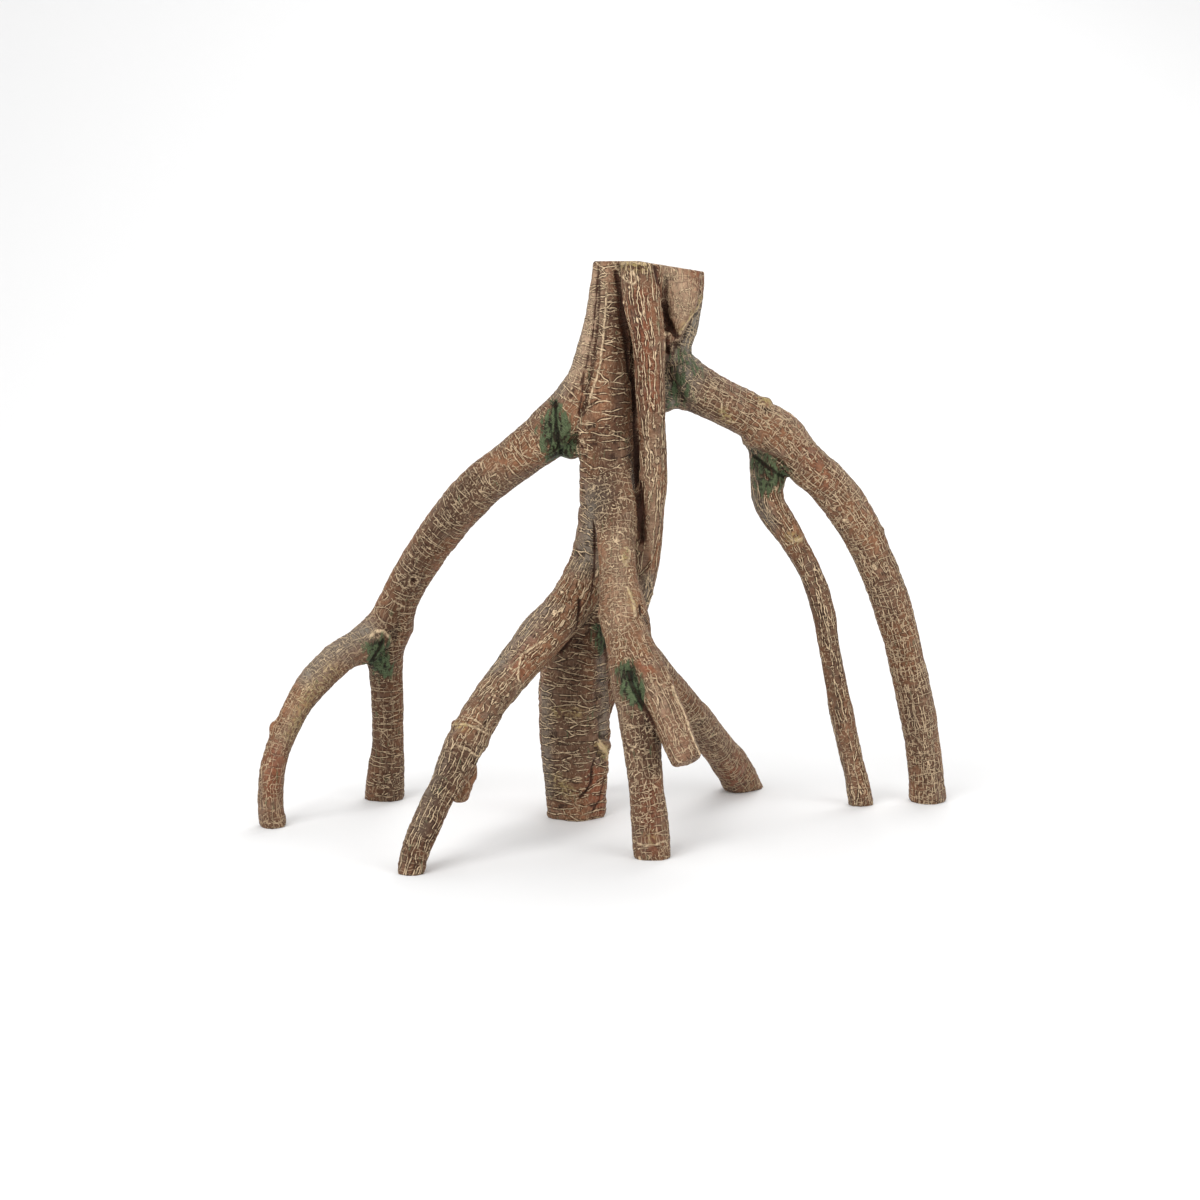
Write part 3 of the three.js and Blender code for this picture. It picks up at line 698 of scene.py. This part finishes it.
crease = np.exp(-((grain.margin / CREASE) ** 2)) * grain.side_by_side
crease *= grain.is_inside_ends(grain.owner) * grain.is_inside_ends(grain.second)
relief -= CREASE_DEPTH * crease
normals = normals_of(root)
is_sole = skin[:, 2] < FLOOR_ZONE
is_top = (skin[:, 2] > TOP_FROM) & (normals[:, 2] > FACES_UP)
relief[is_sole | is_top] *= SAWN_SHARE
relief += EVENING * (mean(relief[:, None])[:, 0] - relief)
shaped = skin + normals * relief[:, None]
shaped = shaped.clip(*np.array(solid_box))
place_points(root, shaped)
print("relief moved the bark by up to", round(float(np.abs(relief).max()) * 1000, 2), "mm")

# %% [markdown]
# ## What colours the bark
# The material needs to know more than the shape: where moss grows, where the bark is ochre
# or rusty, where it lies in a hollow. Each of these is a number from 0 to 1 on every point,
# painted round spots of the photo or worked out from the shape.

# %% Spots of colour, by pixels of the photo
TINTS = {  # points, reach in metres, strength
    "moss": {
        "left arch tip": ([(555, 404), (556, 418)], 0.007, 0.9),
        "left arch": ([(555, 428), (558, 440), (560, 450)], 0.016, 1.1),
        "left fork": ([(378, 648), (377, 660), (383, 668)], 0.013, 0.9),
        "stub fork": ([(627, 674), (631, 686), (637, 696)], 0.012, 1.0),
        "neck": ([(688, 366), (682, 380), (674, 394)], 0.018, 0.55),
        "thin fork": ([(758, 464), (768, 472), (778, 478), (764, 484)], 0.014, 0.8),
        "middle": ([(600, 628), (602, 648)], 0.008, 0.8),
    },
    # Grey bark, and grey painted sheen along the margins of some strands.
    "grey": {
        "inner side": ([(592, 500), (590, 530), (586, 560)], 0.018, 1.0),
        "neck": ([(698, 320), (690, 345), (680, 375), (668, 400)], 0.020, 1.2),
        "left strand": ([(590, 300), (580, 350), (560, 390)], 0.012, 0.8),
        "leg": ([(540, 610), (516, 640), (494, 668)], 0.014, 0.8),
        "outer leg": ([(365, 630), (335, 648), (308, 674)], 0.014, 1.0),
        "thin fork": ([(752, 470), (756, 500), (768, 520)], 0.010, 0.9),
        "heel": ([(735, 440), (755, 452)], 0.012, 0.9),
        "column base": ([(648, 580), (650, 605)], 0.008, 0.9),
        "foot margin": ([(600, 660), (604, 700), (604, 730)], 0.009, 0.9),
        "foot margin left": ([(544, 690), (546, 740), (548, 790)], 0.008, 0.9),
        "lower leg": ([(440, 760), (428, 800), (420, 830)], 0.010, 0.6),
    },
    "pale": {
        "left strand": ([(600, 275), (592, 320), (584, 350), (572, 376)], 0.011, 1.5),
        "axed face": ([(672, 275), (684, 290), (680, 310)], 0.014, 1.6),
        "front root": ([(614, 540), (622, 580), (618, 620)], 0.014, 0.7),
        "stub": ([(656, 690), (672, 730), (682, 752)], 0.010, 0.6),
        "arch outside": ([(770, 408), (826, 450), (862, 500)], 0.008, 0.6),
        "left arch outside": ([(500, 440), (440, 490), (404, 550)], 0.007, 0.6),
        "column low": ([(652, 440), (654, 500), (650, 550)], 0.006, 0.5),
        "outer leg": ([(330, 660), (300, 700), (280, 745)], 0.007, 0.5),
    },
    # Partly the bark's darker tone, partly painted shade under the arches and on roots that lie behind
    # others.
    "dark": {
        "centre strand": ([(614, 310), (619, 350), (621, 400), (620, 430)], 0.012, 1.1),
        "body": ([(600, 440), (605, 480), (600, 510)], 0.018, 0.9),
        "column side": ([(634, 300), (637, 350), (641, 400), (642, 450)], 0.005, 0.8),
        "left arch": (
            [(470, 480), (430, 540), (400, 600), (385, 660), (385, 740), (384, 820)], 0.016, 1.0,
        ),
        "foot": ([(572, 660), (572, 700), (570, 740), (560, 790)], 0.020, 0.65),
        "fork": ([(570, 640), (590, 650), (596, 620)], 0.014, 1.0),
        "right arch underside": ([(820, 510), (850, 560), (872, 610)], 0.012, 0.8),
        "front root behind the stub": ([(642, 716), (648, 740), (652, 765)], 0.012, 1.0),
        "front root low": ([(640, 740), (646, 790), (650, 845)], 0.012, 0.4),
        "right root": ([(700, 700), (690, 700), (712, 745)], 0.012, 0.5),
        "lower leg": ([(462, 755), (440, 800), (418, 860)], 0.016, 1.0),
        "right arch low": ([(890, 620), (905, 700), (914, 780)], 0.014, 0.5),
        "thin root": ([(800, 560), (826, 640), (840, 720)], 0.010, 0.5),
    },
    "ochre": {
        "pale knot": ([(760, 398), (768, 401)], 0.0045, 1.0),
        "top flap": ([(622, 264), (634, 265), (645, 266)], 0.005, 0.9),
        "axed edge": ([(703, 296), (690, 318), (680, 332)], 0.0024, 1.0),
        "leg ring": ([(454, 725), (466, 727)], 0.005, 0.8),
        "broken rim": ([(600, 746), (606, 755)], 0.006, 0.8),
        "arch scar": ([(722, 412), (728, 420)], 0.005, 0.8),
        "thin knot": ([(790, 537), (800, 539)], 0.005, 0.8),
        "front cap": ([(650, 834), (652, 840)], 0.004, 0.5),
        "outer leg": ([(332, 670), (308, 698), (292, 735)], 0.009, 0.4),
        "foot band": ([(556, 712), (578, 713)], 0.005, 0.6),
        "foot lichen": ([(558, 781), (567, 789)], 0.008, 0.6),
        "flakes": ([(629, 592), (634, 606)], 0.0035, 0.8),
        "upper flake": ([(626, 550), (625, 564)], 0.0035, 0.7),
    },
    "rust": {
        "column": ([(640, 300), (642, 330), (646, 360), (650, 400)], 0.011, 1.0),
        "left root": ([(589, 320), (583, 352)], 0.006, 1.0),
        "beads": ([(668, 345), (670, 370)], 0.007, 1.0),
        "broken foot": ([(592, 775), (596, 795), (602, 808)], 0.012, 1.1),
        "recess": ([(656, 275), (661, 300), (667, 325)], 0.005, 1.0),
        "top right": ([(694, 272), (700, 285)], 0.008, 0.7),
        "leg": ([(540, 600), (522, 655), (516, 670)], 0.010, 0.8),
        "column side": ([(633, 420), (637, 470), (641, 520)], 0.005, 1.0),
        "right root spot": ([(643, 662), (648, 668)], 0.006, 1.0),
        "right root foot": ([(728, 768), (738, 782)], 0.013, 0.9),
        "front foot": ([(650, 790), (651, 846)], 0.010, 0.9),
        "right arch": ([(800, 440), (830, 480)], 0.012, 0.6),
        "stub": ([(668, 720), (684, 752)], 0.009, 0.5),
        "outer foot": ([(276, 750), (272, 790)], 0.010, 0.9),
    },
}
BACK_MOSS = [(-0.03, 0.035, 0.23), (0.03, 0.045, 0.27), (-0.005, 0.06, 0.09), (0.1, 0.05, 0.225)]
BACK_REACH = 0.02
HOLLOW_SHADE_TURNS = 12
HOLLOW_SHADE_SCALE = 0.00035


def paint(name, values):
    """Stores one number for each point of the bark."""
    layer = root.data.attributes.new(name, "FLOAT", "POINT")
    layer.data.foreach_set("value", values.astype(np.float32))


for tint, places in TINTS.items():
    strength = np.zeros(len(skin))
    for pixels, reach, most in places.values():
        strength = np.maximum(strength, most * nearness(skin, path_on_bark(pixels), reach))
    if tint == "moss":
        strength = np.maximum(strength, nearness(skin, BACK_MOSS, BACK_REACH))
    paint(tint, strength)
    print(tint, "covers", round(float((strength > COUNTED).mean()) * 100, 1), "% of the bark")

# %% [markdown]
# ## Painted shade in the hollows
# Every hollow is darkened with painted shade. A blurred copy of the shape lies above the bark in a
# hollow and below it on a bump, so the gap between the two says which is which.

# %% Painted shade in the hollows, and the marks
blurred = shaped.copy()
for _ in range(HOLLOW_SHADE_TURNS):
    blurred = mean(blurred)
# How deep each point lies in a hollow; the material paints shade there.
hollow = ((blurred - shaped) * normals).sum(1) / HOLLOW_SHADE_SCALE
paint("hollow", hollow.clip(-1, 1) * 0.5 + 0.5)
# The clefts and, weaker, the creases between strands, where the material paints shade.
paint("cleft", np.maximum(cleft, crease * CREASE_SHADE))
paint("crest", crest)
print("hollow points", int((hollow > 0.5).sum()))

# %% [markdown]
# ## Fewer triangles where the bark is plain
# A fine grid spends as much on smooth bark as on a cleft. Once the relief is in, collapsing
# the edges that matter least keeps the clefts sharp and brings the piece under its limit.

# %% Thin out the mesh
use(root, "TRIANGULATE")
if len(root.data.polygons) > MOST_TRIANGLES:
    use(root, "DECIMATE", ratio=MOST_TRIANGLES / len(root.data.polygons))
bpy.ops.object.shade_smooth()
print("bark triangles", len(root.data.polygons))

# %% [markdown]
# ## The grain for the material
# The lines on the bark run with the grain, so the material needs each point's place on its
# straightened strand, and the way the bark faces there. Both are stored on the corners of
# the faces: on the points, a face between two strands would be smeared across both.

# %% Store the grain on the corners of the faces
LINES = {  # shares of lengthwise lines, of lines round the strand and of short curls
    "leftArch": (0.3, 0.8, 0.7),
    "outerLeftLeg": (0.4, 0.4, 0.7),
    "body": (0.1, 1.0, 0.45),
    "column": (1.0, 0.1, 0.35),
    "rightRoot": (0.5, 0.9, 0.4),
    "frontRoot": (0.4, 0.6, 0.9),
    "cutStub": (0.7, 0.3, 0.6),
    "frontLeftRoot": (1.0, 0.3, 0.4),
    "legStub": (0.5, 0.3, 0.5),
    "rightArch": (0.8, 0.6, 0.6),
    "archHeel": (0.6, 0.5, 0.7),
    "axedWedge": (0.5, 0.3, 0.9),
    "thinRoot": (1.0, 0.3, 0.6),
    "heart": (0.5, 0.5, 0.5),
}
skin = points_of(root)
grain = Grain(skin)
corners = np.empty(len(root.data.polygons) * 3, int)
root.data.polygons.foreach_get("vertices", corners)
corner_owner = np.repeat(grain.owner[corners[::3]], 3)
places = grain.beside[corners, corner_owner] + OFFSETS[corner_owner]
normals = normals_of(root)
outward = np.empty_like(places)
for number, strand in enumerate(strands.values()):
    own = corner_owner == number
    outward[own] = strand.turn(skin[corners[own]], normals[corners[own]])
for name, arrows in (("grain", places), ("outward", outward)):
    layer = root.data.attributes.new(name, "FLOAT_VECTOR", "CORNER")
    layer.data.foreach_set("vector", arrows.astype(np.float32).ravel())
shares = np.array([LINES[name] for name in STRANDS])[grain.owner]
for name, values in zip(("lengthwise", "crosswise", "curled"), shares.T):
    paint(name, values)
print("grain on", len(places), "corners")

# %% [markdown]
# ## Shader sums in plain Python
# A bark material needs many small sums. Linked by hand they are hard to read, so a small
# class wraps a socket and turns + - * / into Math nodes. Every other node comes from one
# method that takes the type, the settings and the sockets.

# %% A socket that can be used in sums
class Value:
    """An output of a node, usable like a number."""

    def __init__(self, shader, socket):
        self.shader, self.socket = shader, socket

    def math(self, operation, first, second=0.0):
        return self.shader.node("ShaderNodeMath", {"operation": operation}, {0: first, 1: second})

    def __add__(self, other):
        return self.math("ADD", self, other)

    def __sub__(self, other):
        return self.math("SUBTRACT", self, other)

    def __rsub__(self, other):
        return self.math("SUBTRACT", other, self)

    def __mul__(self, other):
        return self.math("MULTIPLY", self, other)

    def __truediv__(self, other):
        return self.math("DIVIDE", self, other)

    __radd__, __rmul__ = __add__, __mul__

    def held(self):
        """The value kept between 0 and 1."""
        return self.shader.node("ShaderNodeClamp", {}, {"Value": self})

    def above(self, low, high):
        """0 up to low, 1 from high on, and a smooth step between."""
        sockets = {"Value": self, "From Min": low, "From Max": high}
        return self.shader.node("ShaderNodeMapRange", {"interpolation_type": "SMOOTHSTEP"}, sockets)

    def most(self, other):
        """The larger of the two values."""
        return self.math("MAXIMUM", self, other)


print("operators from both sides", [name for name in vars(Value) if name.startswith("__r")])

# %% [markdown]
# ## One class for a material
# Textures, attributes and colour mixes need other nodes than Math nodes. Each gets a short
# name here, and all of them go through one method that makes the node. The method net
# draws the cracks: random cells are stretched along or round the root, and a line runs where
# two cells meet. How steeply the cells part along the surface turns their distance into
# metres, so that every line has the same width, however the cells are stretched.

# %% A material that makes its own nodes
# Where a line starts to fade, and where the painted shadow beside it comes and goes, in half widths.
LINE_FADES = 0.5
SHADOW_RISES, SHADOW_FALLS = (0.9, 1.5), (1.6, 3.4)


class Shader:
    """A material with one method for its nodes."""

    def __init__(self, name):
        self.material = bpy.data.materials.new(name)
        self.material.use_nodes = True
        self.tree = self.material.node_tree
        self.surface = self.tree.nodes["Principled BSDF"]

    def node(self, kind, settings, sockets, output=0):
        made = self.tree.nodes.new(kind)
        for name, value in settings.items():
            setattr(made, name, value)
        for name, value in sockets.items():
            self.feed(made.inputs[name], value)
        return Value(self, made.outputs[output])

    def feed(self, socket, value):
        if isinstance(value, Value):
            self.tree.links.new(value.socket, socket)
        else:
            socket.default_value = value

    def layer(self, name, output="Fac"):
        """What was painted on the mesh under this name."""
        return self.node("ShaderNodeAttribute", {"attribute_name": name}, {}, output)

    def vector(self, operation, first, second):
        return self.node("ShaderNodeVectorMath", {"operation": operation}, {0: first, 1: second})

    def scaled(self, places, grid):
        """Places times the grid, which is one number or one for each axis."""
        return self.vector("MULTIPLY", places, tuple(np.ones(3) * grid))

    def mix(self, mask, first, second):
        """The first colour where the mask is 0 and the second where it is 1."""
        return self.node("ShaderNodeMix", {"data_type": "RGBA"}, {0: mask, 6: first, 7: second}, 2)

    def noise(self, places, grid, detail=2.0, output=0):
        """Cloudy noise with as many steps per metre as the grid says."""
        sockets = {"Vector": self.scaled(places, grid), "Scale": 1.0, "Detail": detail}
        return self.node("ShaderNodeTexNoise", {}, sockets, output)

    def cell(self, places, feature):
        """The distance to the middle of a random cell, and that middle."""
        sockets = {"Vector": places, "Scale": 1.0}
        distance = self.node("ShaderNodeTexVoronoi", {"feature": feature}, sockets, "Distance")
        return distance, Value(self, distance.socket.node.outputs["Position"])

    def net(self, places, grid, width):
        """Lines where cells meet, with their half width in metres, and the painted shadows beside them."""
        stretched = self.scaled(places, grid)
        near, near_middle = self.cell(stretched, "F1")
        far, far_middle = self.cell(stretched, "F2")
        across = self.scaled(self.vector("SUBTRACT", far_middle, near_middle), grid)
        flat = self.vector("CROSS_PRODUCT", across, self.layer("outward", "Vector"))
        steepness = self.node("ShaderNodeVectorMath", {"operation": "LENGTH"}, {0: flat}, "Value")
        away = (far * far - near * near) / (steepness * 2.0)
        line = 1 - away.above(width * LINE_FADES, width)
        # Painted shadow: a band on each side of the line.
        come = away.above(*(width * share for share in SHADOW_RISES))
        gone = away.above(*(width * share for share in SHADOW_FALLS))
        return line, come * (1 - gone)


print("methods", [name for name in vars(Shader) if not name.startswith("_")])

# %% [markdown]
# ## Places and noises for the bark
# Every pattern reads its place on the straightened strand, so that it follows the grain.
# Nothing in bark is straight, so a soft noise moves these places a little: less for the
# long cracks, more for the curls. The other noises tear lines, mottle the bark and set where
# its colour turns.

# %% Bent places and noises
DRIFT_GRID, FINE_GRID, TATTER_GRID = 150, 900, 520  # steps per metre, as for every grid
PATCH_GRID, BROAD_GRID, BREAKS_GRID = 85, (38, 38, 20), 210
HANGING_GRID = (420, 420, 80)  # fewer steps downwards, so that the moss hangs in strands
SWAY, BEND = 0.0028, 0.0045  # metres

bark = Shader("mangrove_bark")
grain_at = bark.layer("grain", "Vector")
drift = bark.noise(grain_at, DRIFT_GRID, 1.0, "Color")
drift = bark.vector("SUBTRACT", drift, (0.5, 0.5, 0.5))
swayed = bark.vector("ADD", grain_at, bark.scaled(drift, SWAY))
bent = bark.vector("ADD", grain_at, bark.scaled(drift, BEND))
fine = bark.noise(grain_at, FINE_GRID, 3.0)
patch = bark.noise(grain_at, PATCH_GRID)
broad = bark.noise(grain_at, BROAD_GRID)
breaks = bark.noise(grain_at, BREAKS_GRID, 1.0)
tatter = bark.noise(bent, TATTER_GRID)
objects_own = bark.node("ShaderNodeTexCoord", {}, {}, "Object")
hanging = bark.noise(objects_own, HANGING_GRID, 3.0)
print("nodes so far", len(bark.tree.nodes))

# %% [markdown]
# ## The cream lines
# The most striking thing about this bark is its fine cream lines, barely a millimetre wide.
# They run lengthwise on the column and the front left leg, round the thick middle root, and
# curl on the front root. Each strand has its own shares of the three kinds, and noises break
# the lines up. The raised seams and rings of the mesh are cream too.

# %% Three nets of lines
LINE = 0.00038  # metres, half the width of a cream line
DOWN_GRID, ROUND_GRID, CURL_GRID = (330, 330, 30), (40, 40, 230), 330

down, down_shadow = bark.net(swayed, DOWN_GRID, LINE)
round_it, round_shadow = bark.net(swayed, ROUND_GRID, LINE)
curls, curl_shadow = bark.net(bent, CURL_GRID, LINE)
down_share = bark.layer("lengthwise") * breaks.above(0.34, 0.48)
round_share = bark.layer("crosswise") * breaks.above(0.35, 0.47)
curl_share = bark.layer("curled") * (1 - patch.above(0.48, 0.60)) * tatter.above(0.48, 0.55)
veins = (down * down_share).most(round_it * round_share).most(curls * curl_share)
veins = veins * tatter.above(0.32, 0.44)
# Painted shadows beside the cream lines.
line_shadows = (down_shadow * down_share).most(round_shadow * round_share).most(curl_shadow * curl_share)
seams = bark.layer("crest").above(0.20, 0.70) * (0.35 + tatter.above(0.36, 0.50) * 0.60)
raised = veins.most(seams)
print("nodes so far", len(bark.tree.nodes))

# %% [markdown]
# ## The colours, from the wood up
# The bark is mauve brown with warmer, terracotta stretches. Over it lie, in this order, the
# painted tints (the dark one partly painted shade, the grey one partly painted sheen on edges),
# the dark mottling, painted shadows beside the lines, painted shade in the hollows, the cream
# lines, and the ochre of knots and edges. Moss covers the crotches in dark green strands that
# hang straight down, and painted shade makes the cracks darkest of all.

# %% Bark, tints and lines
MAUVE = (0.190, 0.104, 0.062, 1)
CLAY = (0.262, 0.122, 0.062, 1)
RUST = (0.24, 0.072, 0.032, 1)
STONE = (0.225, 0.195, 0.155, 1)
TAN = (0.49, 0.335, 0.22, 1)
# Dark brown bark, and also the colour of the painted shade in hollows, cracks and beside the lines.
UMBER = (0.026, 0.010, 0.005, 1)
CREAM = (0.76, 0.57, 0.365, 1)
OCHRE = (0.42, 0.315, 0.13, 1)
dark = bark.layer("dark")
# Grey bark, random grey patches, and painted sheen along the edges of strands.
grey_bark_and_edge_sheen = bark.layer("grey") * 0.85 + patch.above(0.55, 0.75) * 0.3
ochre = (bark.layer("ochre") * 1.2).held()

colour = bark.mix(broad.above(0.40, 0.62), MAUVE, CLAY)
colour = bark.mix(bark.layer("rust") * 0.75, colour, RUST)
colour = bark.mix(grey_bark_and_edge_sheen.held(), colour, STONE)
colour = bark.mix((bark.layer("pale") * 0.52).held(), colour, TAN)
# Darker bark, and painted shade under the arches and behind other roots.
colour = bark.mix((dark * 0.62).held(), colour, UMBER)
colour = bark.mix((1 - tatter.above(0.34, 0.58)) * 0.38, colour, UMBER)
# Painted shadow beside the cream lines.
colour = bark.mix(line_shadows * 0.78, colour, UMBER)
# Painted shade: the deeper the hollow, the darker the bark.
colour = bark.mix(bark.layer("hollow").above(0.56, 0.95) * 0.8, colour, UMBER)
colour = bark.mix(raised * (0.90 - dark * 0.15), colour, CREAM)
colour = bark.mix(ochre * tatter.above(0.40, 0.60) * 0.8, colour, OCHRE)
print("nodes so far", len(bark.tree.nodes))

# %% Moss and cracks
MOSS = (0.004, 0.008, 0.003, 1)
MOSS_LIGHT = (0.088, 0.130, 0.062, 1)
SHADE = (0.062, 0.021, 0.011, 1)

strands_of_moss = (hanging * 0.65 + tatter * 0.35).above(0.43, 0.56)
moss_colour = bark.mix(strands_of_moss, MOSS, MOSS_LIGHT)
moss = bark.layer("moss") * 1.4 + (hanging - 0.5) * 2.6 + (tatter - 0.5) * 0.8
moss = moss.above(0.30, 0.95)
# Painted shade in the cracks and creases: red-brown shade, dark moss inside the moss, umber in the deepest.
cracks = bark.layer("cleft")
colour = bark.mix(moss * 0.92, colour, moss_colour)
colour = bark.mix(cracks.above(0.12, 0.55) * 0.8, colour, bark.mix(moss, SHADE, MOSS))
colour = bark.mix(cracks.above(0.40, 1.1) * 0.8, colour, UMBER)
print("nodes so far", len(bark.tree.nodes))

# %% [markdown]
# ## Relief too fine for the mesh, and the finish
# The mesh holds everything from about a millimetre up. The cream lines and the grain between
# them are finer, so a bump adds them. Dry bark is matt, and a little rougher on the raised
# lines than in the damp moss.

# %% Bump, roughness and the finished material
BUMP = 0.0010  # metres
SHINE = 0.15

height = raised + tatter * 0.45 + fine * 0.25 - line_shadows * 0.5 + moss * hanging * 0.5
bump = bark.node("ShaderNodeBump", {}, {"Height": height, "Strength": 1.0, "Distance": BUMP})
bark.feed(bark.surface.inputs["Base Color"], colour)
bark.feed(bark.surface.inputs["Roughness"], 0.60 + raised * 0.12 - moss * 0.1)
bark.feed(bark.surface.inputs["Normal"], bump)
bark.feed(bark.surface.inputs["Specular IOR Level"], SHINE)
root.data.materials.clear()
root.data.materials.append(bark.material)
print("bark nodes", len(bark.tree.nodes))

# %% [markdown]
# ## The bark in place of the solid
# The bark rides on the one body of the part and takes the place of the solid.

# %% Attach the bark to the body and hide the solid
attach(root, "root")
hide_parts("mangrove_root")
